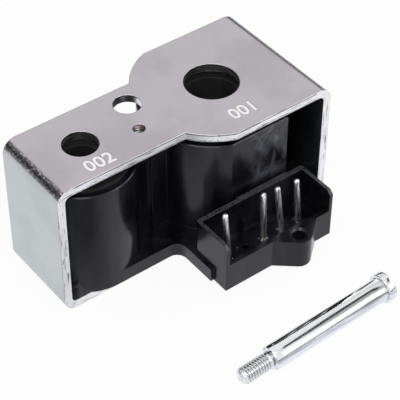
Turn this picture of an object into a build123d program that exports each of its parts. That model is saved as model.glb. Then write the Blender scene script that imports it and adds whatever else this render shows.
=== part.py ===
from build123d import *
import os
from math import asin, cos, degrees, radians, sin

# Twin solenoid coil of a gas valve: a main coil and a smaller pilot coil stand side by
# side in a bent steel yoke, moulded together with a four-pin connector. The long screw
# that holds it on the valve lies beside it.
# Origin: axis of the main bore at the underside. The pilot coil is towards -X, the
# connector towards -Y, and the bores run up +Z.

# Yoke and base plate
sheet = 2.0
yoke_height = 35.0
bend_inside = 1.4
foot_length = 5.6
plate_margin = 0.3
pilot_overhang = 1.55
shoulder_margin = 1.4

# Bores and holes, by diameter
main_bore = 12.7
pilot_bore = 8.2
fixing_hole = 6.5
earth_tap = 2.9

# Layers of each coil, from the bore outward
sleeve_wall = 1.05
bobbin_wall = 0.9
main_copper = 5.95
pilot_copper = 3.75
tape = 0.25
winding_cover = 0.5
main_skin = 2.0
pilot_skin = 1.5

# Gaps round the coils
drum_gap = 6.15
main_end_gap = 1.25
pilot_flat = 1.0
top_gap = 2.6
fixing_offset = 0.475
fixing_y = 4.8
earth_from_fixing = 2.7
earth_y = -3.4

# Coil details
floor_skin = 1.5
drum_edge = 0.25
bobbin_rise = 0.7
flange_thickness = 1.3
sleeve_length = 11.0
collar_width = 1.4
collar_chamfer = 0.3
flat_skin = 0.8
flat_end = 9.4

# Web between the drums
web_front = -5.0
web_thickness = 2.4
web_drop = 2.9
web_rib = 1.0

# Base flange
ledge_height = 3.5
ledge_margin = 0.8
ledge_depth = 6.7
ledge_corner = 2.6

# Connector shroud
shroud_offset = 0.3
shroud_width = 30.4
shroud_depth = 11.1
shroud_side = 0.9
shroud_wall = 1.2
shroud_height = 13.2
front_wall_height = 7.4
socket_floor_height = 3.7
shroud_corner = 1.0
back_rib = 0.35
back_rib_place = 11.4
back_rib_width = 14.5
guide_rib = 0.5

# Lug for the connector's screw
lug_from_right = 10.9
lug_reach = 4.5
lug_round = 3.0
lug_base = 12.8
lug_hole = 3.0
lug_countersink = 0.5

# Terminal pins
pin_diameter = 1.4
pin_pitch = 5.08
pin_from_right = 5.4
pin_from_back = 5.8
pin_root_skin = 0.6
pin_straight = 1.0
pin_bend_radius = 4.0
pin_heights = [12.8, 13.5, 13.9, 13.7]
pin_leans = [-1.1, -1.6, -0.5, -1.1]
pin_places = [0, 1, 2, 4]
empty_place = 3
empty_hole_depth = 1.6

# Leads and solder
lead_diameter = 0.7
lead_rise = 3.6
lead_depth = 1.6
lead_outset = 0.9
lead_bend = 0.9
main_lead_angles = [-48, -68]
pilot_lead_angles = [-20, -50]
outer_corner_back = (0.8, 5.4)
inner_corner_back = (4.5, 4.0)
solder_radius = 1.15
solder_height = 1.2

# Fixing screw
screw_thread = 4.0
screw_shank = 5.6
screw_head = 7.0
thread_length = 8.2
shank_length = 31.6
head_height = 2.4
head_round = 0.8
thread_point = 0.9
point_flat = 0.45
point_bulge = 1.6
shank_chamfer = 0.3
slot_width = 1.2
slot_depth = 1.0
slot_angle = 25.0
screw_turn = 1.0
screw_tip_x = -30.7
screw_tip_y = -50.0

# Places that follow from the sizes above
main_rim = main_bore / 2 + sleeve_wall + bobbin_wall + main_copper + tape + winding_cover
pilot_rim = pilot_bore / 2 + sleeve_wall + bobbin_wall + pilot_copper + tape + winding_cover
main_drum = main_rim + main_skin
pilot_drum = pilot_rim + pilot_skin
pilot_x = -(main_drum + drum_gap + pilot_drum)
wall_left = pilot_x - pilot_drum + pilot_flat
wall_right = main_drum + main_end_gap
end_left = wall_left - sheet
end_right = wall_right + sheet
foot_left = end_left + foot_length
foot_right = end_right - foot_length
half_pilot = pilot_drum - pilot_overhang
half_main = main_drum + plate_margin
under_top = yoke_height - sheet
fixing_x = fixing_offset - main_drum - drum_gap / 2
earth_x = fixing_x - earth_from_fixing
floor_top = sheet + floor_skin
ledge_top = sheet + ledge_height
drum_top = under_top - top_gap
bobbin_top = drum_top + bobbin_rise
shroud_back = -main_drum
shroud_front = shroud_back - shroud_depth
shroud_left = -main_drum - shroud_offset
shroud_right = shroud_left + shroud_width
shroud_top = sheet + shroud_height
front_wall_top = sheet + front_wall_height
socket_floor = sheet + socket_floor_height
lug_x = shroud_right - lug_from_right
lug_y = shroud_front - lug_reach + lug_round
pin_y = shroud_back - pin_from_back
lead_level = sheet + lead_depth
cut = 80.0


def block(x0, x1, y0, y1, z0, z1):
    """Box between two corners."""
    return Pos((x0 + x1) / 2, (y0 + y1) / 2, (z0 + z1) / 2) * Box(x1 - x0, y1 - y0, z1 - z0)


def plan_block(x0, x1, y0, y1):
    """Rectangle between two corners, seen from above."""
    return Pos((x0 + x1) / 2, (y0 + y1) / 2) * Rectangle(x1 - x0, y1 - y0)


def disc(x, y, radius, z0, z1):
    """Upright cylinder."""
    return Pos(x, y, z0) * extrude(Circle(radius), z1 - z0)


def raised(plan, z0, z1):
    """Plan shape raised from one height to another."""
    return Pos(0, 0, z0) * extrude(plan, z1 - z0)


def turned(points, x=0.0):
    """Solid turned about an upright axis from a half profile of radius and height."""
    profile = Plane.XZ * make_face(Polyline(*points, close=True))
    return Pos(x, 0, 0) * revolve(profile, Axis.Z)


def yoke_plan():
    """Outline of the yoke: a narrow strip that opens round the main bore to full width."""
    shoulder = Circle(main_drum + shoulder_margin) & plan_block(-cut, cut, -half_main, half_main)
    strip = plan_block(end_left, 0, -half_pilot, half_pilot)
    wide = plan_block(0, end_right, -half_main, half_main)
    return strip + shoulder + wide


def between_walls():
    """Space inside the bent strip, with the inner radius of its four bends."""
    space = block(wall_left, wall_right, -cut, cut, sheet, under_top)
    return fillet(space.edges().filter_by(Axis.Y), bend_inside)


def yoke():
    """Steel strip bent at four corners, with two short feet below and the holes on top."""
    outside = block(end_left, end_right, -half_main, half_main, 0, yoke_height)
    outside = fillet(outside.edges().filter_by(Axis.Y), bend_inside + sheet)
    strip = (outside - between_walls()) & raised(yoke_plan(), 0, yoke_height)
    strip -= block(foot_left, foot_right, -cut, cut, -1, sheet)
    for x, y, diameter in plate_holes() + [(earth_x, earth_y, earth_tap)]:
        strip -= disc(x, y, diameter / 2, under_top - 1, yoke_height + 1)
    return strip


def plate_holes():
    """Holes that pass down through the whole coil."""
    return [(0, 0, main_bore), (pilot_x, 0, pilot_bore), (fixing_x, fixing_y, fixing_hole)]


def base_plate():
    """Flat plate between the feet of the yoke, which closes the magnetic circuit."""
    plan = yoke_plan() & plan_block(foot_left, foot_right, -cut, cut)
    plate = raised(plan, 0, sheet)
    for x, y, diameter in plate_holes()[:2]:
        plate -= disc(x, y, diameter / 2 + sleeve_wall, -sheet, 2 * sheet)
    return plate - disc(fixing_x, fixing_y, fixing_hole / 2, -sheet, 2 * sheet)


def flux_sleeve(x, bore):
    """Steel bush pressed into the base plate, with a collar that the bobbin stands on."""
    inner = bore / 2
    outer = inner + sleeve_wall
    collar = outer + collar_width
    top = sleeve_length
    points = [
        (inner, 0),
        (outer, 0),
        (outer, sheet),
        (collar, sheet),
        (collar, floor_top),
        (outer, floor_top),
        (outer, top - collar_chamfer),
        (outer - collar_chamfer, top),
        (inner, top),
    ]
    return turned(points, x)


def bobbin(x, bore, rim):
    """Bobbin with two flanges, opened out below for the flux sleeve."""
    inner = bore / 2
    pocket = inner + sleeve_wall
    tube = pocket + bobbin_wall
    low, high = winding_span()
    points = [
        (pocket, floor_top),
        (rim, floor_top),
        (rim, low),
        (tube, low),
        (tube, high),
        (rim, high),
        (rim, bobbin_top),
        (inner, bobbin_top),
        (inner, sleeve_length),
        (pocket, sleeve_length),
    ]
    return turned(points, x)


def winding_span():
    """Heights between the flanges of a bobbin."""
    return floor_top + flange_thickness, bobbin_top - flange_thickness - bobbin_rise


def winding_radii(bore, rim):
    """Inner and outer radius of the copper on a bobbin."""
    return bore / 2 + sleeve_wall + bobbin_wall, rim - winding_cover - tape


def winding(x, bore, rim):
    """Copper between the flanges."""
    inner, outer = winding_radii(bore, rim)
    low, high = winding_span()
    return disc(x, 0, outer, low, high) - disc(x, 0, inner, low - 1, high + 1)


def winding_tape(x, bore, rim, leads):
    """Layer of tape round the copper, open where the leads come out."""
    outer = winding_radii(bore, rim)[1]
    low, high = winding_span()
    layer = disc(x, 0, outer + tape, low, high) - disc(x, 0, outer, low - 1, high + 1)
    for lead in leads:
        layer -= lead
    return layer


def pin_x(place):
    """Place of a pin along the connector, counted from the right."""
    return shroud_right - pin_from_right - place * pin_pitch


def terminal_pin(number):
    """Round tinned pin, a little bent above the socket floor."""
    x = pin_x(pin_places[number])
    tip_centre = socket_floor + pin_heights[number] - pin_diameter / 2
    path = FilletPolyline(
        (x, pin_y, sheet + pin_root_skin),
        (x, pin_y, socket_floor + pin_straight),
        (x + pin_leans[number], pin_y, tip_centre),
        radius=pin_bend_radius,
    )
    wire = sweep(Plane(path @ 0, z_dir=path % 0) * Circle(pin_diameter / 2), path=path)
    return wire + Pos(path @ 1) * Sphere(pin_diameter / 2)


def solder_space(number):
    """Round of solder about the root of a pin, with the pin still in it."""
    x = pin_x(pin_places[number])
    return disc(x, pin_y, solder_radius, lead_level - solder_height / 2, lead_level + solder_height / 2)


def solder_joint(number):
    """Ring of solder round the root of a pin."""
    x = pin_x(pin_places[number])
    return solder_space(number) - disc(x, pin_y, pin_diameter / 2, sheet, socket_floor)


def lead(coil_x, bore, rim, angle, waypoints, number):
    """Wire from a winding, down beside its bobbin and through the base to a pin."""
    copper = winding_radii(bore, rim)[1]
    away = rim + lead_diameter / 2 + lead_outset / 2
    exit_height = winding_span()[0] + lead_rise
    toward = (cos(radians(angle)), sin(radians(angle)))
    start = (coil_x + toward[0] * (copper - tape), toward[1] * (copper - tape), exit_height)
    drop = (coil_x + toward[0] * away, toward[1] * away)
    x = pin_x(pin_places[number])
    points = [start, (*drop, exit_height), (*drop, lead_level)]
    points += [(dx - main_drum, dy - main_drum, lead_level) for dx, dy in waypoints]
    points.append((x, pin_y, lead_level))
    path = FilletPolyline(*points, radius=lead_bend)
    wire = sweep(Plane(path @ 0, z_dir=path % 0) * Circle(lead_diameter / 2), path=path)
    wire -= disc(coil_x, 0, copper, 0, yoke_height)
    return wire - disc(x, pin_y, solder_radius, 0, socket_floor + 1)


def lug_plan():
    """Ear on the front wall: a round nose that widens to the wall."""
    nose = Pos(lug_x, lug_y) * Circle(lug_round)
    foot = Pos(lug_x, shroud_front + shroud_wall / 2) * Rectangle(lug_base, shroud_wall)
    return make_hull((nose + foot).edges())


def connector_plan():
    """Outline of the connector and its lug."""
    return plan_block(shroud_left, shroud_right, shroud_front, shroud_back) + lug_plan()


def base_flange():
    """Moulded foot on the base plate, which carries the drums and the connector."""
    step_x = shroud_left - ledge_margin
    bar = plan_block(pilot_x, -main_drum / 2, -pilot_drum, pilot_drum)
    neck = plan_block(step_x, shroud_right, shroud_back - ledge_depth, 0)
    plan = Pos(pilot_x, 0) * Circle(pilot_drum) + bar + neck
    corner = plan.vertices().sort_by(lambda v: abs(v.X - step_x) + abs(v.Y + pilot_drum))[0]
    plan = fillet(corner, ledge_corner) + connector_plan()
    drum = Circle(main_drum) & plan_block(-cut, cut, shroud_back + main_skin - flat_skin, cut)
    return raised(plan + drum, sheet, ledge_top)


def drums():
    """The two round coil bodies, the flat towards the connector and the web between."""
    main_plan = Circle(main_drum) + plan_block(0, flat_end, -main_drum, 0)
    main_plan = main_plan & plan_block(-cut, cut, -main_rim - flat_skin, cut)
    body = raised(main_plan, ledge_top, drum_top)
    pilot_plan = Pos(pilot_x, 0) * Circle(pilot_drum) & plan_block(wall_left, 0, -cut, cut)
    body += raised(pilot_plan, ledge_top, drum_top)
    body = chamfer(body.edges().group_by(Axis.Z)[-1], drum_edge)
    web_top = drum_top - web_drop
    web_back = web_front + web_thickness
    web = block(pilot_x + pilot_drum / 2, -main_drum / 2, web_front, web_back, ledge_top, web_top)
    rib_x = -main_drum - drum_gap / 2
    rib = block(rib_x - web_rib, rib_x + web_rib, web_front - web_rib, web_front, ledge_top, web_top)
    return body + web + rib


def connector_shroud():
    """Open-topped socket with a low front wall, high sides and a rib on its back."""
    shell = block(shroud_left, shroud_right, shroud_front, shroud_back, sheet, shroud_top)
    inner_left = shroud_left + shroud_side
    inner_right = shroud_right - shroud_side
    inner_back = shroud_back - shroud_wall
    shell -= block(inner_left, inner_right, shroud_front + shroud_wall, inner_back, socket_floor, cut)
    shell -= block(inner_left, inner_right, shroud_front - 1, inner_back, front_wall_top, cut)
    front_top = shell.edges().filter_by(Axis.X).filter_by(
        lambda e: e.center().Z > shroud_top - 0.1 and e.center().Y < shroud_front + 0.1)
    shell = chamfer(front_top, shroud_corner)
    back_ends = shell.edges().filter_by(Axis.Z).filter_by(lambda e: e.center().Y > shroud_back - 0.1)
    shell = fillet(back_ends, shroud_side * 0.8)
    rib_left = shroud_left + back_rib_place
    shell += block(rib_left, rib_left + back_rib_width, shroud_back, shroud_back + back_rib, sheet, shroud_top)
    for place in pin_places[:-1]:
        x = pin_x(place) - pin_pitch / 2
        half = guide_rib / 2
        shell += block(x - half, x + half, inner_back - guide_rib, inner_back, socket_floor, front_wall_top)
    return shell


def lug():
    """Ear with the hole for the connector's screw."""
    ear = lug_plan() & plan_block(-cut, cut, -cut, shroud_front + shroud_wall)
    return raised(ear, sheet, front_wall_top)


def lug_bore():
    """Hole of the lug with its countersink."""
    hole = disc(lug_x, lug_y, lug_hole / 2, 0, front_wall_top + 1)
    rim = Pos(lug_x, lug_y, front_wall_top - lug_countersink / 2) * Cone(
        lug_hole / 2, lug_hole / 2 + lug_countersink, lug_countersink)
    return hole + rim


def housing(inner_pieces):
    """Black moulding that encloses both coils and carries the connector."""
    body = (base_flange() + drums() + connector_shroud() + lug()) & between_walls()
    body -= lug_bore()
    body -= disc(fixing_x, fixing_y, fixing_hole / 2, 0, yoke_height)
    empty_x = pin_x(empty_place)
    body -= disc(empty_x, pin_y, pin_diameter / 2, socket_floor - empty_hole_depth, socket_floor + 1)
    low, high = winding_span()
    for x, bore, rim in coils():
        body -= disc(x, 0, rim, floor_top, low)
        body -= disc(x, 0, winding_radii(bore, rim)[1] + tape, low, high)
        body -= disc(x, 0, rim, high, yoke_height)
        body -= disc(x, 0, bore / 2 + sleeve_wall + collar_width, 0, floor_top)
    for piece in inner_pieces:
        body -= piece
    return body


def coils():
    """Place, bore and bobbin rim of each coil."""
    return [(0, main_bore, main_rim), (pilot_x, pilot_bore, pilot_rim)]


def fixing_screw():
    """Long shouldered screw, lying on the rim of its head and the end of its shank."""
    thread = screw_thread / 2
    shank = screw_shank / 2
    head = screw_head / 2
    shank_end = thread_length + shank_length
    top = shank_end + head_height
    profile = make_face(
        Polyline((head, top - head_round), (head, shank_end), (shank, shank_end),
                 (shank, thread_length + shank_chamfer), (shank - shank_chamfer, thread_length),
                 (thread, thread_length), (thread, thread_point))
        + RadiusArc((thread, thread_point), (thread * point_flat, 0), -thread_point * point_bulge)
        + Polyline((thread * point_flat, 0), (0, 0), (0, top))
        + Line((0, top), (head - head_round, top))
        + RadiusArc((head - head_round, top), (head, top - head_round), head_round)
    )
    screw = revolve(Plane.XZ * profile, Axis.Z)
    screw -= block(-head, head, -slot_width / 2, slot_width / 2, top - slot_depth, top + 1)
    tilt = degrees(asin((head - shank) / shank_length))
    lying = Rot(0, 90 - tilt, 0) * Rot(0, 0, slot_angle) * screw
    lift = -lying.bounding_box().min.Z
    return Pos(screw_tip_x, screw_tip_y, lift) * Rot(0, 0, screw_turn) * lying


def build():
    """Every piece by name."""
    main, pilot = coils()
    leads = {
        "main_start_lead": lead(*main, main_lead_angles[0], [], 0),
        "main_finish_lead": lead(*main, main_lead_angles[1], [], 1),
        "pilot_start_lead": lead(*pilot, pilot_lead_angles[0], [inner_corner_back], 2),
        "pilot_finish_lead": lead(*pilot, pilot_lead_angles[1], [outer_corner_back], 3),
    }
    numbers = range(len(pin_places))
    pins = {f"terminal_pin_{n + 1}": terminal_pin(n) for n in numbers}
    moulded_in = list(leads.values()) + list(pins.values()) + [solder_space(n) for n in numbers]
    nodes = {
        "yoke": yoke(),
        "base_plate": base_plate(),
        "housing": housing(moulded_in),
        "solder_joints": Compound(children=[solder_joint(n) for n in numbers]),
        "fixing_screw": fixing_screw(),
    }
    for name, (x, bore, rim) in zip(("main", "pilot"), coils()):
        own = [wire for key, wire in leads.items() if key.startswith(name)]
        nodes[f"{name}_bobbin"] = bobbin(x, bore, rim)
        nodes[f"{name}_winding"] = winding(x, bore, rim)
        nodes[f"{name}_winding_tape"] = winding_tape(x, bore, rim, own)
        nodes[f"{name}_flux_sleeve"] = flux_sleeve(x, bore)
    return {**nodes, **leads, **pins}


os.makedirs("parts", exist_ok=True)
for name, solid in build().items():
    export_step(solid, f"parts/{name}.step")
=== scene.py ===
import bpy
import bmesh
import random
from math import asin, cos, pi, radians, sin, sqrt, tau
from mathutils import Matrix, Vector


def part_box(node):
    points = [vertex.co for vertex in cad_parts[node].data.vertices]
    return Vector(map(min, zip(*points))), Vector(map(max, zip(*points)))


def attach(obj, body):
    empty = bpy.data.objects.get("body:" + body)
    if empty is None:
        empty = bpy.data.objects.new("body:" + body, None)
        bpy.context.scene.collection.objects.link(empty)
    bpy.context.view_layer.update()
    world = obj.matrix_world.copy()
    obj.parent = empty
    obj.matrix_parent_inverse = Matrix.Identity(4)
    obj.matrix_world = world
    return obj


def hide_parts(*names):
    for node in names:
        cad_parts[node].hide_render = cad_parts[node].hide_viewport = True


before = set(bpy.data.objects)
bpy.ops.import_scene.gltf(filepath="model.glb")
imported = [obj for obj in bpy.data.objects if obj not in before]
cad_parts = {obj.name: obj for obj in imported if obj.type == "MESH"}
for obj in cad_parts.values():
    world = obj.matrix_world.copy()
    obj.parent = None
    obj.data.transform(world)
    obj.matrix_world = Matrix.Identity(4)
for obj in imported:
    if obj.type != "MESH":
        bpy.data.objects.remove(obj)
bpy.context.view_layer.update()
mm = 0.001
noiseMean = 0.5


class Link:
    # a shader socket that can be used in sums
    def __init__(self, finish, socket):
        self.finish = finish
        self.socket = socket

    def join(self, operation, first, second):
        return self.finish.node("ShaderNodeMath", {"operation": operation}, {0: first, 1: second})

    def __add__(self, other):
        return self.join("ADD", self, other)

    def __radd__(self, other):
        return self.join("ADD", other, self)

    def __sub__(self, other):
        return self.join("SUBTRACT", self, other)

    def __rsub__(self, other):
        return self.join("SUBTRACT", other, self)

    def __mul__(self, other):
        return self.join("MULTIPLY", self, other)

    def __rmul__(self, other):
        return self.join("MULTIPLY", other, self)

    def __truediv__(self, other):
        return self.join("DIVIDE", self, other)

    def __gt__(self, other):
        return self.join("GREATER_THAN", self, other)

    def __lt__(self, other):
        return self.join("LESS_THAN", self, other)

    def __abs__(self):
        return self.finish.node("ShaderNodeMath", {"operation": "ABSOLUTE"}, {0: self})


def weighted(weights, **parts):
    # the parts added up, each times its weight
    first, *others = (weights[name] * part for name, part in parts.items())
    return sum(others, first)


class Finish:
    # one material: its shader and the nodes that feed it
    samples = 6

    def __init__(self, name, **values):
        self.material = bpy.data.materials.new(name)
        self.material.use_nodes = True
        self.tree = self.material.node_tree
        self.shader = self.tree.nodes["Principled BSDF"]
        for key, value in values.items():
            self.shader.inputs[key.replace("_", " ")].default_value = value
        self.place = self.node("ShaderNodeTexCoord", output="Object")

    def node(self, kind, settings=None, sockets=None, output=0):
        made = self.tree.nodes.new(kind)
        for key, value in (settings or {}).items():
            setattr(made, key, value)
        for key, value in (sockets or {}).items():
            self.feed(made.inputs[key], value)
        return Link(self, made.outputs[output])

    def feed(self, socket, value):
        if isinstance(value, Link):
            self.tree.links.new(value.socket, socket)
        else:
            socket.default_value = value

    def set(self, name, value):
        self.feed(self.shader.inputs[name], value)

    def noise(self, size, detail=3.0, roughness=0.5, stretch=None, distortion=0.0):
        # size is that of one grain in millimetres, and stretch draws it out along some axes
        place = self.place
        if stretch:
            place = self.node("ShaderNodeVectorMath", {"operation": "MULTIPLY"}, {0: place, 1: stretch})
        values = {"Vector": place, "Scale": 1 / (size * mm), "Detail": detail,
                  "Roughness": roughness, "Distortion": distortion}
        return self.node("ShaderNodeTexNoise", None, values, "Fac")

    def part(self, vector, axis):
        return self.node("ShaderNodeSeparateXYZ", None, {0: vector}, axis)

    def step(self, value, low, high, bottom=0.0, top=1.0):
        # smooth change from bottom to top while the value goes from low to high
        return self.node("ShaderNodeMapRange", {"interpolation_type": "SMOOTHSTEP"},
                         {0: value, 1: low, 2: high, 3: bottom, 4: top})

    def blend(self, mask, first, second):
        if not isinstance(first, Link):
            first = (*first, 1)
        if not isinstance(second, Link):
            second = (*second, 1)
        return self.node("ShaderNodeMix", {"data_type": "RGBA"}, {0: mask, 6: first, 7: second}, 2)

    def hollow(self, reach):
        # one on open faces, falling to nothing in grooves narrower than the reach
        settings = {"samples": self.samples}
        return self.node("ShaderNodeAmbientOcclusion", settings, {"Distance": reach * mm}, "AO")

    def roundEdge(self, radius):
        # shading normal that rounds sharp edges a little
        return self.node("ShaderNodeBevel", {"samples": self.samples}, {"Radius": radius * mm})

    def bump(self, height, depth, normal=None):
        sockets = {"Height": height, "Distance": depth * mm}
        if normal is not None:
            sockets["Normal"] = normal
        return self.node("ShaderNodeBump", None, sockets)


def showObject(name, data):
    made = bpy.data.objects.new(name, data)
    bpy.context.scene.collection.objects.link(made)
    return made


def meshData(name, mesh):
    data = bpy.data.meshes.new(name)
    mesh.to_mesh(data)
    mesh.free()
    return data


def finishedMesh(made):
    # the mesh of an object with its modifiers or its text worked out
    bpy.context.view_layer.update()
    graph = bpy.context.evaluated_depsgraph_get()
    return bpy.data.meshes.new_from_object(made.evaluated_get(graph))


def dress(node, finish):
    # gives a node of the frame its finish
    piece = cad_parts[node]
    piece.data.materials.clear()
    piece.data.materials.append(finish.material)


def addPiece(name, mesh, finish, body, replaces=()):
    piece = showObject(name, mesh)
    mesh.materials.clear()
    mesh.materials.append(finish.material)
    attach(piece, body)
    if replaces:
        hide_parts(*replaces)
    return piece


# plated steel: satin faces, with the end walls painted a lighter, cooler colour as a painted reflection of
# the floor

steelLook = {
    "face": (0.54, 0.505, 0.548),
    "faceShade": (0.475, 0.45, 0.486),
    # end walls: the same plating, painted lighter and cooler as a painted reflection of the floor
    "wall": (0.55, 0.585, 0.57),
    "wallShade": (0.50, 0.535, 0.52),
    "wallFrom": (0.6, 0.95),
    "cloud": {"size": 14.0, "detail": 2.0},
    "grain": {"size": 0.22, "detail": 4.0, "roughness": 0.6},
    "rolled": {"size": 0.5, "stretch": (0.12, 1.0, 1.0)},
    "rolledShare": 0.08,
    "shadeFrom": (0.45, 0.70),
    "roughness": 0.25,
    "shine": {"grain": 0.10, "cloud": 0.12},
    "rise": {"grain": 0.5, "rolled": 0.12, "bright": 0.6, "cracked": 1.0},
    "depth": 0.006,
    "bevel": 0.22,
}

bendLook = {
    "from": (0.34, 0.46),
    # painted dark reflection along the bends, broken up as cracks
    "dark": (0.07, 0.065, 0.07),
    "shadeAndCrackCover": 0.9,
    "crack": {"size": 0.30, "detail": 4.0, "roughness": 0.7, "stretch": (1.0, 0.6, 1.0)},
    "crackFrom": (0.30, 0.46),
    "bright": (0.86, 0.85, 0.86),
    "brightCover": 0.5,
    "grit": {"size": 0.16, "detail": 1.0, "roughness": 0.4},
    "gritFrom": (0.70, 0.74),
    "flake": {"size": 0.55, "roughness": 0.6, "stretch": (1.0, 0.7, 1.0)},
    "flakeFrom": (0.56, 0.62),
}

cutLook = {
    "sheet": 2.0,
    "height": 35.0,
    "flat": (-44.0, 16.0),
    "sideFrom": (0.90, 0.97),
    "rimFrom": (0.25, 0.6),
    "rimSoft": 0.1,
    "bright": (0.92, 0.92, 0.91),
    "dark": (0.10, 0.095, 0.095),
    "darkFrom": (0.0, 1.2),
    "lengthwise": {"size": 0.22, "roughness": 0.6, "stretch": (0.05, 1.0, 1.0)},
    "upright": {"size": 0.22, "roughness": 0.6, "stretch": (1.0, 1.0, 0.05)},
    "turnOver": 0.3,
    "streakFrom": (0.56, 0.64),
    "torn": {"size": 0.16, "roughness": 0.6},
    "tornFrom": (0.62, 0.68),
    "tornShare": 0.8,
    "lineTop": (0.10, 0.20),
    "lineLow": (0.34, 0.46),
    "lineFrom": (0.26, 0.38),
    "lineShare": 1.2,
    "raggedLow": (1.45, 1.75),
    "raggedFrom": (0.44, 0.56),
    "roughnessGain": 0.05,
    "streakShine": 0.15,
    "streakRise": 3.0,
}


def shadeAndCrackBends(steel, colour, bend):
    # the bends are painted dark, partly as cracked plating and partly as a painted dark reflection, with
    # bright grit
    look = bendLook
    crack = steel.noise(**look["crack"])
    # the bend's painted dark reflection, broken by the crack noise
    dark = bend * steel.step(crack, *look["crackFrom"]) * look["shadeAndCrackCover"]
    colour = steel.blend(dark, colour, look["dark"])
    grit = steel.step(steel.noise(**look["grit"]), *look["gritFrom"])
    flake = steel.step(steel.noise(**look["flake"]), *look["flakeFrom"])
    bright = grit + bend * flake
    colour = steel.blend(bright * look["brightCover"], colour, look["bright"])
    return colour, bright, bend * crack


def cutStreak(steel, level, lengthwise):
    # streaks run along the strip on every side
    look = cutLook
    upright = steel.noise(**look["upright"])
    middle = look["height"] / 2
    inner = middle - look["sheet"]
    flat = steel.step(abs(level - middle), inner - look["turnOver"], inner)
    return upright + flat * (lengthwise - upright)


def cutDark(steel, under, inSheet, lengthwise, streak):
    # torn spots, a broken dark line under the face, and a ragged lower side
    look = cutLook
    torn = steel.noise(**look["torn"])
    dark = steel.step(streak, *look["streakFrom"]) + look["tornShare"] * steel.step(torn, *look["tornFrom"])
    line = steel.step(under, *look["lineTop"]) * steel.step(under, *look["lineLow"], 1.0, 0.0)
    broken = look["lineShare"] * line * steel.step(lengthwise, *look["lineFrom"])
    ragged = steel.step(under, *look["raggedLow"]) * inSheet * steel.step(torn, *look["raggedFrom"])
    return dark + broken + ragged


def shearEdges(steel, upward):
    # cut faces at the sides, round the top's outline and in its holes
    look = cutLook
    across = abs(steel.part(steel.node("ShaderNodeNewGeometry", output="True Normal"), "Y"))
    along, level = (steel.part(steel.place, axis) / mm for axis in "XZ")
    low = look["height"] - look["sheet"]
    left, right = look["flat"]
    inSheet = steel.step(level, low, low + look["rimSoft"])
    onFlat = (along > left) * (along < right)
    rim = inSheet * onFlat * (1 - steel.step(upward, *look["rimFrom"]))
    side = steel.step(across, *look["sideFrom"])
    cutFace = side.join("MAXIMUM", side, rim)
    lengthwise = steel.noise(**look["lengthwise"])
    streak = cutStreak(steel, level, lengthwise)
    under = (look["height"] - level) * onFlat
    dark = cutDark(steel, under, inSheet, lengthwise, streak)
    colour = steel.blend(steel.step(dark, *look["darkFrom"]), look["bright"], look["dark"])
    return cutFace, colour, streak


def platedSteel():
    look = steelLook
    steel = Finish("platedSteel", Metallic=1.0)
    cloud = steel.noise(**look["cloud"])
    grain = steel.noise(**look["grain"])
    rolled = steel.noise(**look["rolled"])
    normal = steel.node("ShaderNodeNewGeometry", output="Normal")
    sideways = abs(steel.part(normal, "X"))
    upward = abs(steel.part(normal, "Z"))
    shade = steel.step(cloud + look["rolledShare"] * rolled, *look["shadeFrom"])
    face = steel.blend(shade, look["face"], look["faceShade"])
    # sideways faces take the end walls' painted reflection colour
    wall = steel.blend(shade, look["wall"], look["wallShade"])
    colour = steel.blend(steel.step(sideways, *look["wallFrom"]), face, wall)
    bend = steel.step(sideways * upward, *bendLook["from"])
    colour, bright, cracked = shadeAndCrackBends(steel, colour, bend)
    cutFace, cutColour, streak = shearEdges(steel, upward)
    steel.set("Base Color", steel.blend(cutFace, colour, cutColour))
    shine = weighted(look["shine"], grain=grain - noiseMean, cloud=cloud - noiseMean)
    cutShine = cutLook["roughnessGain"] + cutLook["streakShine"] * (streak - noiseMean)
    steel.set("Roughness", look["roughness"] + shine + cutFace * cutShine)
    height = weighted(look["rise"], grain=grain, rolled=rolled, bright=bright, cracked=cracked)
    height = height + cutLook["streakRise"] * cutFace * streak
    steel.set("Normal", steel.bump(height, look["depth"], steel.roundEdge(look["bevel"])))
    return steel


# black moulded plastic: glossy, with faint flow, fine scratches and dust

plasticLook = {
    "colour": (0.0045, 0.0045, 0.0070),
    "haze": (0.018, 0.018, 0.025),
    "hazeFrom": (0.42, 0.75),
    "dust": (0.30, 0.31, 0.33),
    "dustPitch": 2.6,
    "dustSize": (0.028, 0.05),
    "dustField": {"size": 3.0, "detail": 1.0},
    "dustFrom": (0.50, 0.62),
    "flow": {"size": 7.0, "stretch": (1.0, 1.0, 0.35), "distortion": 0.6},
    "orange": {"size": 0.55, "detail": 2.0},
    "fine": {"size": 0.12, "roughness": 0.6},
    "scratch": {"size": 0.30, "detail": 2.0, "roughness": 0.6, "stretch": (1.0, 1.0, 0.05)},
    "scratchFrom": (0.66, 0.74),
    "specular": 0.34,
    "roughness": 0.20,
    "shine": {"flow": 0.10, "fine": 0.05, "scuffed": 0.12, "dust": 0.4},
    "rise": {"orange": 0.9, "fine": 0.08, "scuffed": 0.10, "flow": 1.6},
    "depth": 0.012,
    "bevel": 0.16,
}

wearAndSheenLook = {
    # rim: lighter up-facing faces at the rim's height, partly rubbed wear and partly a painted sheen of the
    # sky
    "rim": (0.050, 0.050, 0.060),
    "rimHeight": 15.2,
    "rimReach": (0.2, 0.4),
    "rimFacing": (0.7, 0.9),
    "rimFrom": (0.3, 0.5),
    # painted reflection of a lamp, a cloudy patch on the flat behind the connector
    "lampReflection": (0.085, 0.088, 0.105),
    "cloud": {"size": 3.2, "roughness": 0.6, "stretch": (1.0, 1.0, 0.7), "distortion": 0.8},
    "cloudFrom": (0.35, 0.75),
    "flatLeft": (-3.0, 2.0),
    "flatLow": (14.0, 18.0),
    "flatFront": -11.0,
}


def dustSpecks(plastic):
    look = plasticLook
    values = {"Vector": plastic.place, "Scale": 1 / (look["dustPitch"] * mm)}
    speck = plastic.node("ShaderNodeTexVoronoi", None, values, "Distance")
    field = plastic.noise(**look["dustField"])
    return (1 - plastic.step(speck, *look["dustSize"])) * plastic.step(field, *look["dustFrom"])


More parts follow.
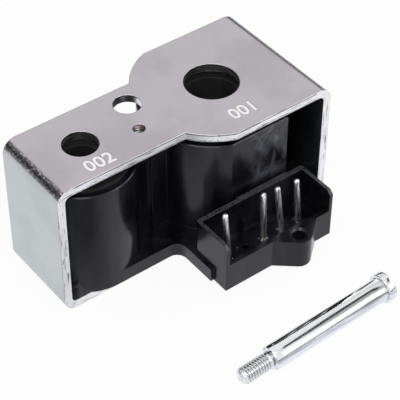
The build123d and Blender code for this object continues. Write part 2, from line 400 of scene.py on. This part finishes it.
def wearAndSheenPlastic(plastic, colour, orange):
    # rubbed rim of the connector, its top faces partly a painted sky sheen, and a cloudy painted reflection
    # of a lamp on the flat behind it
    look = wearAndSheenLook
    x, y, z = (plastic.part(plastic.place, axis) / mm for axis in "XYZ")
    up = plastic.part(plastic.node("ShaderNodeNewGeometry", output="True Normal"), "Z")
    away = abs(z - look["rimHeight"])
    # up-facing faces at the rim's height: rubbed wear and painted sky sheen
    rim = plastic.step(up, *look["rimFacing"]) * plastic.step(away, *look["rimReach"], 1.0, 0.0)
    colour = plastic.blend(rim * plastic.step(orange, *look["rimFrom"]), colour, look["rim"])
    # painted reflection of a lamp on the flat behind the connector
    onFlat = plastic.step(x, *look["flatLeft"]) * (y < look["flatFront"]) * plastic.step(z, *look["flatLow"])
    cloud = plastic.step(plastic.noise(**look["cloud"]), *look["cloudFrom"])
    return plastic.blend(onFlat * cloud, colour, look["lampReflection"])


def blackPlastic():
    look = plasticLook
    plastic = Finish("blackPlastic", Specular_IOR_Level=look["specular"])
    flow = plastic.noise(**look["flow"])
    orange = plastic.noise(**look["orange"])
    fine = plastic.noise(**look["fine"])
    scuffed = plastic.step(plastic.noise(**look["scratch"]), *look["scratchFrom"])
    dust = dustSpecks(plastic)
    colour = plastic.blend(plastic.step(flow, *look["hazeFrom"]), look["colour"], look["haze"])
    colour = wearAndSheenPlastic(plastic, colour, orange)
    plastic.set("Base Color", plastic.blend(dust, colour, look["dust"]))
    shine = weighted(look["shine"], flow=flow - noiseMean, fine=fine - noiseMean,
                     scuffed=scuffed, dust=dust)
    plastic.set("Roughness", look["roughness"] + shine)
    height = weighted(look["rise"], orange=orange, fine=fine, scuffed=scuffed, flow=flow)
    plastic.set("Normal", plastic.bump(height, look["depth"], plastic.roundEdge(look["bevel"])))
    return plastic


# inner plastic of the bobbins

bobbinLook = {
    "colours": ((0.010, 0.010, 0.011), (0.028, 0.027, 0.027)),
    "flow": {"size": 3.0},
    "grain": {"size": 0.10, "roughness": 0.6},
    "roughness": 0.38,
    "shine": {"grain": 0.15, "flow": 0.1},
    "depth": 0.008,
    "bevel": 0.12,
}


def bobbinPlastic():
    look = bobbinLook
    plastic = Finish("bobbinPlastic")
    flow = plastic.noise(**look["flow"])
    grain = plastic.noise(**look["grain"])
    plastic.set("Base Color", plastic.blend(flow, *look["colours"]))
    plastic.set("Roughness", look["roughness"] + weighted(look["shine"], grain=grain - noiseMean, flow=flow))
    plastic.set("Normal", plastic.bump(grain + flow, look["depth"], plastic.roundEdge(look["bevel"])))
    return plastic


# bright zinc of the screw, with dark streaks along it as painted reflections, dull spots, and painted shade
# in the thread's grooves

zincLook = {
    "colour": (0.86, 0.87, 0.89),
    # painted dark reflection streaks along the shank, and dull spots
    "shade": (0.30, 0.31, 0.33),
    # painted shade in the thread's grooves
    "grooveShade": (0.05, 0.05, 0.055),
    "turned": {"size": 0.10, "roughness": 0.6, "stretch": (1.0, 0.06, 0.06)},
    "drawn": {"size": 1.1, "detail": 5.0, "roughness": 0.62, "stretch": (0.04, 1.0, 1.0)},
    "spot": {"size": 0.5, "roughness": 0.7},
    "drawnFrom": (0.50, 0.66),
    "spotFrom": (0.62, 0.72),
    "cover": {"drawn": 0.8, "spot": 0.3},
    "hollow": 0.7,
    "hollowFrom": (0.35, 0.85),
    "roughness": 0.05,
    "shine": {"drawn": 0.10, "spot": 0.10},
    "rise": {"turned": 0.5, "drawn": 1.0},
    "depth": 0.004,
}


def brightZinc():
    look = zincLook
    zinc = Finish("brightZinc", Metallic=1.0)
    turned = zinc.noise(**look["turned"])
    drawn = zinc.noise(**look["drawn"])
    spot = zinc.step(zinc.noise(**look["spot"]), *look["spotFrom"])
    # painted dark reflection streaks, with dull spots
    cover = weighted(look["cover"], drawn=zinc.step(drawn, *look["drawnFrom"]), spot=spot)
    tone = zinc.blend(cover, look["colour"], look["shade"])
    # painted shade: ambient occlusion darkens the grooves, the head's underside and the neck
    clear = zinc.step(zinc.hollow(look["hollow"]), *look["hollowFrom"])
    zinc.set("Base Color", zinc.blend(clear, look["grooveShade"], tone))
    zinc.set("Roughness", look["roughness"] + weighted(look["shine"], drawn=drawn, spot=spot))
    zinc.set("Normal", zinc.bump(weighted(look["rise"], turned=turned, drawn=drawn), look["depth"]))
    return zinc


# tin on the pins, with dark streaks along them painted as reflections

tinLook = {
    "colour": (0.97, 0.96, 0.95),
    # painted dark reflection streaks along the pins
    "shade": (0.20, 0.19, 0.19),
    "drawn": {"size": 0.42, "roughness": 0.6, "stretch": (1.0, 1.0, 0.05)},
    "dull": {"size": 0.8, "roughness": 0.6},
    "dullShare": 0.2,
    "shadeFrom": (0.56, 0.74),
    "roughness": 0.21,
    "shine": {"dull": 0.25, "drawn": 0.1},
    "depth": 0.010,
}


def tinPlate():
    look = tinLook
    tin = Finish("tinPlate", Metallic=1.0)
    drawn = tin.noise(**look["drawn"])
    dull = tin.noise(**look["dull"])
    # dark lengthwise streaks: painted reflection
    shade = tin.step(drawn + look["dullShare"] * dull, *look["shadeFrom"])
    tin.set("Base Color", tin.blend(shade, look["colour"], look["shade"]))
    tin.set("Roughness", look["roughness"] + weighted(look["shine"], dull=dull, drawn=drawn))
    tin.set("Normal", tin.bump(drawn + dull, look["depth"]))
    return tin


# turns of enamelled wire, seen if the moulding is opened

copperLook = {
    "colours": ((0.55, 0.20, 0.08), (0.36, 0.11, 0.04)),
    "tone": {"size": 2.0},
    "wire": 0.16,
    "wavePeriod": 0.314,
    "roughness": 0.28,
    "shine": 0.1,
    "depth": 0.06,
}


def copperWire():
    look = copperLook
    wire = Finish("copperWire", Metallic=1.0)
    settings = {"bands_direction": "Z", "wave_profile": "SIN"}
    values = {"Vector": wire.place, "Scale": look["wavePeriod"] / (look["wire"] * mm)}
    turns = wire.node("ShaderNodeTexWave", settings, values, "Fac")
    tone = wire.noise(**look["tone"])
    wire.set("Base Color", wire.blend(tone, *look["colours"]))
    wire.set("Roughness", look["roughness"] + look["shine"] * tone)
    wire.set("Normal", wire.bump(turns, look["depth"]))
    return wire


# finishes in which one noise drives colour, shine and relief

turning = {"size": 0.14, "roughness": 0.6, "stretch": (0.08, 0.08, 1.0)}

plainLooks = {
    "tapeFilm": {
        "colours": ((0.62, 0.42, 0.08), (0.50, 0.31, 0.05)),
        "noise": {"size": 1.6, "roughness": 0.6, "stretch": (1.0, 1.0, 0.2)},
        "roughness": 0.32, "shine": 0.15, "depth": 0.03,
    },
    "leadSleeve": {
        "colours": ((0.34, 0.05, 0.03), (0.24, 0.03, 0.02)),
        "noise": {"size": 0.6},
        "roughness": 0.45, "shine": 0.2, "depth": 0.01,
    },
    "solderTin": {
        "colours": ((0.62, 0.61, 0.60), (0.42, 0.42, 0.42)),
        "noise": {"size": 0.4},
        "metal": 1.0, "roughness": 0.37, "shine": 0.3, "depth": 0.04,
    },
    "turnedSteel": {
        "colours": ((0.34, 0.33, 0.33), (0.56, 0.55, 0.54)),
        "noise": turning,
        "metal": 1.0, "roughness": 0.30, "shine": 0.2, "depth": 0.006, "bevel": 0.1,
    },
    "tappedSteel": {
        "colours": ((0.04, 0.022, 0.02), (0.30, 0.20, 0.19)),
        "noise": turning,
        "metal": 1.0, "roughness": 0.30, "shine": 0.2, "depth": 0.006, "bevel": 0.1,
    },
    # metal laid open by the number punches, and the painted shadow beside them
    "struckSteel": {
        "colours": ((0.86, 0.85, 0.85), (1.0, 1.0, 1.0)),
        "noise": {"size": 0.20, "detail": 4.0, "roughness": 0.7}, "from": (0.35, 0.6),
        "metal": 1.0, "roughness": 0.30, "shine": 0.2, "depth": 0.02,
    },
    "shadedSteel": {
        "colours": ((0.08, 0.075, 0.08), (0.26, 0.25, 0.26)),
        "noise": {"size": 0.30, "roughness": 0.6},
        "metal": 1.0, "roughness": 0.35, "shine": 0.2, "depth": 0.01,
    },
}


def plainFinish(name):
    look = plainLooks[name]
    finish = Finish(name, Metallic=look.get("metal", 0.0))
    noise = finish.noise(**look["noise"])
    mask = finish.step(noise, *look["from"]) if "from" in look else noise
    finish.set("Base Color", finish.blend(mask, *look["colours"]))
    finish.set("Roughness", look["roughness"] + look["shine"] * (noise - noiseMean))
    normal = finish.roundEdge(look["bevel"]) if "bevel" in look else None
    finish.set("Normal", finish.bump(noise, look["depth"], normal))
    return finish


def dressFrame():
    steel = platedSteel()
    plastic = blackPlastic()
    bobbin = bobbinPlastic()
    copper = copperWire()
    film = plainFinish("tapeFilm")
    turned = plainFinish("turnedSteel")
    tin = tinPlate()
    sleeve = plainFinish("leadSleeve")
    for name in ("yoke", "base_plate"):
        dress(name, steel)
    dress("housing", plastic)
    dress("solder_joints", plainFinish("solderTin"))
    for coil in ("main", "pilot"):
        dress(f"{coil}_bobbin", bobbin)
        dress(f"{coil}_winding", copper)
        dress(f"{coil}_winding_tape", film)
        dress(f"{coil}_flux_sleeve", turned)
        dress(f"{coil}_start_lead", sleeve)
        dress(f"{coil}_finish_lead", sleeve)
    for number in range(1, 5):
        dress(f"terminal_pin_{number}", tin)
    print("frame dressed:", len(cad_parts), "nodes")


# the loose screw, with its real thread

screw = {
    "tip": (-30.7, -50.0),
    "turn": 1.0,
    "roll": 25.0,
    "threadRadius": 2.0,
    "rootRadius": 1.62,
    "pitch": 0.7,
    "threadLength": 8.2,
    "flankSlope": 2.7,
    "rootFlat": 0.3,
    "runOut": 0.9,
    "runOutEnd": 0.2,
    "pointLength": 1.1,
    "pointRadius": 0.95,
    "shankRadius": 2.8,
    "shankLength": 31.6,
    "shankChamfer": 0.3,
    "chamferSoft": (0.06, 0.12),
    "shankRings": 12,
    "shankEnds": 1.0,
    "corner": 0.25,
    "neckSoft": 0.06,
    "headRadius": 3.5,
    "headHeight": 2.4,
    "headSoft": 0.07,
    "headRound": 0.75,
    "headRings": 6,
    "faceRings": (0.7, 0.4, 0.0),
    "slotWidth": 1.2,
    "slotDepth": 1.0,
    "segments": 64,
    "ringsPerTurn": 12,
    "smoothBelow": 32.0,
    "mergeWithin": 1e-5,
}


def threadRings():
    # height, greatest radius and depth of thread of each ring, from the point up
    s = screw
    rings = []
    step = s["pitch"] / s["ringsPerTurn"]
    for index in range(int(s["threadLength"] / step) + 1):
        height = index * step
        point = min(1.0, height / s["pointLength"])
        limit = s["pointRadius"] + (s["threadRadius"] - s["pointRadius"]) * sqrt(1 - (1 - point) ** 2)
        left = s["threadLength"] - height - s["runOutEnd"]
        rings.append((height, limit, min(1.0, max(0.0, left / s["runOut"]))))
    return rings


def plainRings():
    # height and radius of each ring of the shank and the head
    s = screw
    shank = s["shankRadius"]
    head = s["headRadius"]
    corner = s["corner"]
    neck = s["neckSoft"]
    soft = s["headSoft"]
    rise, back = s["chamferSoft"]
    base = s["threadLength"]
    start = base + s["shankChamfer"]
    end = base + s["shankLength"]
    top = end + s["headHeight"]
    rings = [(base, s["rootRadius"]), (base, shank - s["shankChamfer"])]
    rings += [(base + rise, shank - back), (start, shank)]
    for index in range(1, s["shankRings"]):
        rings.append((start + index * (s["shankLength"] - s["shankEnds"]) / s["shankRings"], shank))
    rings += [(end - corner, shank), (end - neck, shank + neck), (end, shank + corner)]
    rings += [(end, head - corner), (end + soft, head - soft), (end + corner, head)]
    for index in range(s["headRings"] + 1):
        angle = index * pi / 2 / s["headRings"]
        rings.append((top - s["headRound"] * (1 - sin(angle)), head - s["headRound"] * (1 - cos(angle))))
    rings += [(top, head * share) for share in s["faceRings"]]
    return rings


def threadRadius(height, angle, limit, fade):
    # sixty-degree thread with flat crests and roots
    s = screw
    phase = (height / s["pitch"] - angle / tau) % 1.0
    flank = min(1.0, max(0.0, (0.5 - abs(phase - 0.5)) * s["flankSlope"] - s["rootFlat"]))
    rise = (s["threadRadius"] - s["rootRadius"]) * flank * fade
    return min(limit, s["rootRadius"] + rise)


def screwMesh():
    segments = screw["segments"]
    angles = [tau * index / segments for index in range(segments)]
    mesh = bmesh.new()
    rows = []
    tipCentre = mesh.verts.new((0, 0, 0))
    for height, limit, fade in threadRings():
        row = []
        for angle in angles:
            radius = threadRadius(height, angle, limit, fade)
            row.append(mesh.verts.new((radius * cos(angle), radius * sin(angle), height)))
        rows.append(row)
    plain = plainRings()
    for height, radius in plain[:-1]:
        rows.append([mesh.verts.new((radius * cos(angle), radius * sin(angle), height)) for angle in angles])
    endCentre = mesh.verts.new((0, 0, plain[-1][0]))
    for low, high in zip(rows, rows[1:]):
        for index in range(segments):
            after = (index + 1) % segments
            mesh.faces.new((low[index], low[after], high[after], high[index]))
    for index in range(segments):
        after = (index + 1) % segments
        mesh.faces.new((tipCentre, rows[0][after], rows[0][index]))
        mesh.faces.new((endCentre, rows[-1][index], rows[-1][after]))
    bmesh.ops.remove_doubles(mesh, verts=mesh.verts, dist=screw["mergeWithin"])
    return meshData("fixingScrew", mesh)


def cutSlot(data):
    # screwdriver slot across the head
    s = screw
    top = s["threadLength"] + s["shankLength"] + s["headHeight"]
    mesh = bmesh.new()
    bmesh.ops.create_cube(mesh, size=1.0)
    size = Matrix.Diagonal((s["headRadius"] * 3, s["slotWidth"], s["slotDepth"] * 2, 1))
    bmesh.ops.transform(mesh, matrix=Matrix.Translation((0, 0, top)) @ size, verts=mesh.verts)
    body = showObject("slotted", data)
    tool = showObject("slotTool", meshData("slotCutter", mesh))
    cut = body.modifiers.new("slot", "BOOLEAN")
    cut.operation = "DIFFERENCE"
    cut.object = tool
    slotted = finishedMesh(body)
    bpy.data.objects.remove(body)
    bpy.data.objects.remove(tool)
    return slotted


def layScrew(data):
    # rests on the rim of the head and the end of the shank
    s = screw
    tilt = asin((s["headRadius"] - s["shankRadius"]) / s["shankLength"])
    lie = Matrix.Rotation(pi / 2 - tilt, 4, "Y") @ Matrix.Rotation(radians(s["roll"]), 4, "Z")
    data.transform(lie)
    lift = -min(vertex.co.z for vertex in data.vertices)
    place = Matrix.Translation((*s["tip"], lift)) @ Matrix.Rotation(radians(s["turn"]), 4, "Z")
    data.transform(Matrix.Scale(mm, 4) @ place)


def smoothBelow(data, angle):
    data.shade_smooth()
    edges = bmesh.new()
    edges.from_mesh(data)
    for edge in edges.edges:
        edge.smooth = edge.calc_face_angle(0.0) < radians(angle)
    edges.to_mesh(data)
    edges.free()


def makeScrew():
    data = cutSlot(screwMesh())
    layScrew(data)
    smoothBelow(data, screw["smoothBelow"])
    addPiece("fixingScrew", data, brightZinc(), "screw", ("fixing_screw",))
    print("screw made")


# plain numbers struck beside the bores, each with a shifted dark copy as painted shadow

numbers = {
    "places": {"001": (-0.55, -12.05), "002": (-35.2, -7.25)},
    "turn": -2.0,
    "size": 4.7,
    "strokes": {
        # painted shadow: a thicker dark copy of each number, shifted and lower
        "struckShade": {"finish": "shadedSteel", "weight": 0.10, "height": 0.012, "shift": (0.13, 0.10)},
        "struckNumber": {"finish": "struckSteel", "weight": 0.09, "height": 0.03, "shift": (0.0, 0.0)},
    },
}


def strikeNumber(text, name, finish):
    stroke = numbers["strokes"][name]
    curve = bpy.data.curves.new("number", "FONT")
    curve.body = text
    curve.size = numbers["size"]
    curve.align_x = "CENTER"
    curve.align_y = "CENTER"
    curve.extrude = stroke["height"]
    curve.offset = stroke["weight"]
    holder = showObject("number", curve)
    data = finishedMesh(holder)
    bpy.data.objects.remove(holder)
    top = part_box("yoke")[1][2] / mm
    x, y = (place + shift for place, shift in zip(numbers["places"][text], stroke["shift"]))
    place = Matrix.Translation((x, y, top)) @ Matrix.Rotation(radians(numbers["turn"]), 4, "Z")
    data.transform(Matrix.Scale(mm, 4) @ place)
    addPiece(f"{name}{text}", data, finish, "coil")


def strikeNumbers():
    for name, stroke in numbers["strokes"].items():
        finish = plainFinish(stroke["finish"])
        for text in numbers["places"]:
            strikeNumber(text, name, finish)
    print("numbers struck")


# thread ridges in the earth screw's hole

earth = {
    "place": (-22.3, -3.4),
    "radius": 1.45,
    "depth": 2.0,
    "pitch": 0.6,
    "ridge": 0.16,
    "ridgeShare": 0.36,
    "sunk": 0.02,
    "start": 0.2,
    "plain": 0.5,
    "fadeSteps": 12,
    "thinEnd": 0.2,
    "segments": 40,
}


def makeEarthThread():
    e = earth
    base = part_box("yoke")[1][2] / mm - e["depth"] + e["start"]
    count = int((e["depth"] - e["plain"]) / e["pitch"] * e["segments"])
    outer = e["radius"] + e["sunk"]
    mesh = bmesh.new()
    previous = None
    for index in range(count + 1):
        angle = tau * index / e["segments"]
        height = base + e["pitch"] * index / e["segments"]
        fade = min(1.0, index / e["fadeSteps"], (count - index) / e["fadeSteps"])
        half = e["ridgeShare"] * e["pitch"] * (e["thinEnd"] + (1 - e["thinEnd"]) * fade)
        row = []
        for radius, rise in ((outer, -half), (e["radius"] - e["ridge"] * fade, 0.0), (outer, half)):
            x = e["place"][0] + radius * cos(angle)
            y = e["place"][1] + radius * sin(angle)
            row.append(mesh.verts.new((x, y, height + rise)))
        if previous:
            for one, two in ((0, 1), (1, 2), (2, 0)):
                mesh.faces.new((previous[one], previous[two], row[two], row[one]))
        else:
            mesh.faces.new(row[::-1])
        previous = row
    mesh.faces.new(previous)
    bmesh.ops.recalc_face_normals(mesh, faces=mesh.faces)
    data = meshData("earthThread", mesh)
    data.transform(Matrix.Scale(mm, 4))
    addPiece("earthThread", data, plainFinish("tappedSteel"), "coil")
    print("earth thread cut")


# specks of tin round the pins' feet

specks = {
    "perPin": 6,
    "size": (0.10, 0.26),
    "reach": (0.05, 0.55),
    "length": (0.7, 1.4),
    "flatness": 0.5,
    "roundness": 2,
    "floor": 5.7,
    "pinRadius": 0.7,
    "seed": 7,
}


def makeSpecks():
    dice = random.Random(specks["seed"])
    mesh = bmesh.new()
    for number in range(1, 5):
        low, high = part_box(f"terminal_pin_{number}")
        middleY = (low[1] + high[1]) / 2 / mm
        rootX = high[0] / mm - specks["pinRadius"]
        for _ in range(specks["perPin"]):
            angle = dice.uniform(0, tau)
            reach = specks["pinRadius"] + dice.uniform(*specks["reach"])
            size = dice.uniform(*specks["size"])
            length = size * dice.uniform(*specks["length"])
            spot = (rootX + reach * cos(angle), middleY + reach * sin(angle), specks["floor"])
            place = Matrix.Translation(spot) @ Matrix.Rotation(angle, 4, "Z")
            shape = Matrix.Diagonal((length, size, size * specks["flatness"], 1))
            bmesh.ops.create_icosphere(mesh, subdivisions=specks["roundness"], radius=1.0,
                                       matrix=place @ shape)
    data = meshData("tinSpecks", mesh)
    data.transform(Matrix.Scale(mm, 4))
    data.shade_smooth()
    addPiece("tinSpecks", data, plainFinish("solderTin"), "coil")
    print("specks scattered")


# the photograph's view

view = {
    "place": (-163.3, -207.2, 244.9),
    "azimuth": -37.73,
    "elevation": 43.0,
    "roll": 0.41,
    "lens": 136.0,
    "sensor": 36.0,
    "near": 0.01,
}


def makeCamera():
    data = bpy.data.cameras.new("camera")
    data.lens = view["lens"]
    data.sensor_width = view["sensor"]
    data.clip_start = view["near"]
    camera = showObject("camera", data)
    aim = Matrix.Rotation(radians(view["azimuth"]), 4, "Z")
    aim = aim @ Matrix.Rotation(radians(90 - view["elevation"]), 4, "X")
    aim = aim @ Matrix.Rotation(radians(view["roll"]), 4, "Z")
    camera.matrix_world = Matrix.Translation(Vector(view["place"]) * mm) @ aim
    bpy.context.scene.camera = camera
    print("camera placed")


# studio in metres: white floor, soft lamps, an even sky and dark cards

studio = {
    "floorSize": 3.0,
    "floor": 0.88,
    "floorRoughness": 0.7,
    "floorLift": 0.93,
    "floorTint": (0.93, 0.94, 1.0),
    "sky": 0.58,
    "skySeen": 0.92,
    "shadeSpot": (-0.064, -0.034, 0.0),
    "shadeReach": (0.012, 0.036),
    "shadeLevel": 0.30,
    "lampsAim": (-0.01, -0.01, 0.01),
    "lamps": [
        {"name": "keyLamp", "place": (-0.35, -0.30, 0.75), "size": 0.55, "power": 2.4},
        {"name": "sideLamp", "place": (0.70, -0.25, 0.45), "size": 0.35, "power": 0.8},
        {"name": "frontLamp", "place": (0.30, -0.50, 0.34), "size": 0.26, "power": 0.7},
    ],
    "cards": [
        {"name": "leftCard", "place": (-0.42, 0.34, 0.22), "size": (0.40, 0.20)},
        {"name": "backCard", "place": (0.26, 0.52, 0.10), "size": (0.90, 0.22)},
        {"name": "overCard", "place": (0.20, -0.09, 0.40), "size": (0.20, 0.07)},
        {"name": "frontCard", "place": (0.22, -0.44, 0.012), "size": (0.70, 0.06)},
    ],
    "cardShade": 0.03,
    "cardRoughness": 0.9,
}


def flatMesh(name, wide, high, finish):
    # rectangle round the origin
    x, y = wide / 2, high / 2
    data = bpy.data.meshes.new(name)
    data.from_pydata([(-x, -y, 0), (x, -y, 0), (x, y, 0), (-x, y, 0)], [], [(0, 1, 2, 3)])
    data.materials.append(finish.material)
    return data


def makeFloor():
    white = Finish("floorWhite", Roughness=studio["floorRoughness"])
    white.set("Base Color", (studio["floor"],) * 3 + (1,))
    seen = white.node("ShaderNodeLightPath", output="Is Camera Ray")
    mirrored = white.node("ShaderNodeLightPath", output="Is Glossy Ray")
    # a darker patch that only reflections see
    ends = {0: white.place, 1: studio["shadeSpot"]}
    away = white.node("ShaderNodeVectorMath", {"operation": "DISTANCE"}, ends, "Value")
    patch = white.step(away, *studio["shadeReach"])
    tint = studio["floorTint"]
    dim = tuple(studio["shadeLevel"] * channel for channel in tint)
    colour = white.blend(seen, white.blend(patch, dim, tint), (1, 1, 1))
    glow = white.node("ShaderNodeEmission", None, {"Color": colour, "Strength": 1.0})
    lift = (seen + mirrored) * studio["floorLift"]
    shade = Link(white, white.shader.outputs[0])
    mixed = white.node("ShaderNodeMixShader", None, {0: lift, 1: shade, 2: glow})
    white.feed(white.tree.nodes["Material Output"].inputs["Surface"], mixed)
    size = 2 * studio["floorSize"]
    floor = showObject("floor", flatMesh("floor", size, size, white))


def makeSky():
    world = bpy.data.worlds.new("sky")
    world.use_nodes = True
    tree = world.node_tree
    sky = tree.nodes["Background"]
    mirrored = tree.nodes.new("ShaderNodeBackground")
    seen = tree.nodes.new("ShaderNodeBackground")
    for background, strength in ((sky, studio["sky"]), (mirrored, studio["skySeen"]), (seen, 1.0)):
        background.inputs["Color"].default_value = (1, 1, 1, 1)
        background.inputs["Strength"].default_value = strength
    path = tree.nodes.new("ShaderNodeLightPath")
    shown = sky
    for ray, background in (("Is Glossy Ray", mirrored), ("Is Camera Ray", seen)):
        mix = tree.nodes.new("ShaderNodeMixShader")
        tree.links.new(path.outputs[ray], mix.inputs[0])
        tree.links.new(shown.outputs[0], mix.inputs[1])
        tree.links.new(background.outputs[0], mix.inputs[2])
        shown = mix
    tree.links.new(shown.outputs[0], tree.nodes["World Output"].inputs["Surface"])
    bpy.context.scene.world = world


def makeLamps():
    for entry in studio["lamps"]:
        data = bpy.data.lights.new(entry["name"], "AREA")
        data.size = entry["size"]
        data.energy = entry["power"]
        lamp = showObject(entry["name"], data)
        lamp.location = entry["place"]
        aim = Vector(studio["lampsAim"]) - Vector(entry["place"])
        lamp.rotation_euler = aim.to_track_quat("-Z", "Y").to_euler()


def makeCards():
    # dark cards outside the picture, which give the bright metal its dark reflections
    black = Finish("cardBlack", Roughness=studio["cardRoughness"])
    black.set("Base Color", (studio["cardShade"],) * 3 + (1,))
    for entry in studio["cards"]:
        card = showObject(entry["name"], flatMesh(entry["name"], *entry["size"], black))
        card.location = entry["place"]
        card.rotation_euler = (-Vector(entry["place"])).to_track_quat("Z", "Y").to_euler()
        card.visible_camera = False


def makeStudio():
    makeFloor()
    makeSky()
    makeLamps()
    makeCards()
    bpy.context.scene.view_settings.view_transform = "Standard"
    print("studio lit")


makeCamera()
makeStudio()
dressFrame()
makeScrew()
strikeNumbers()
makeEarthThread()
makeSpecks()
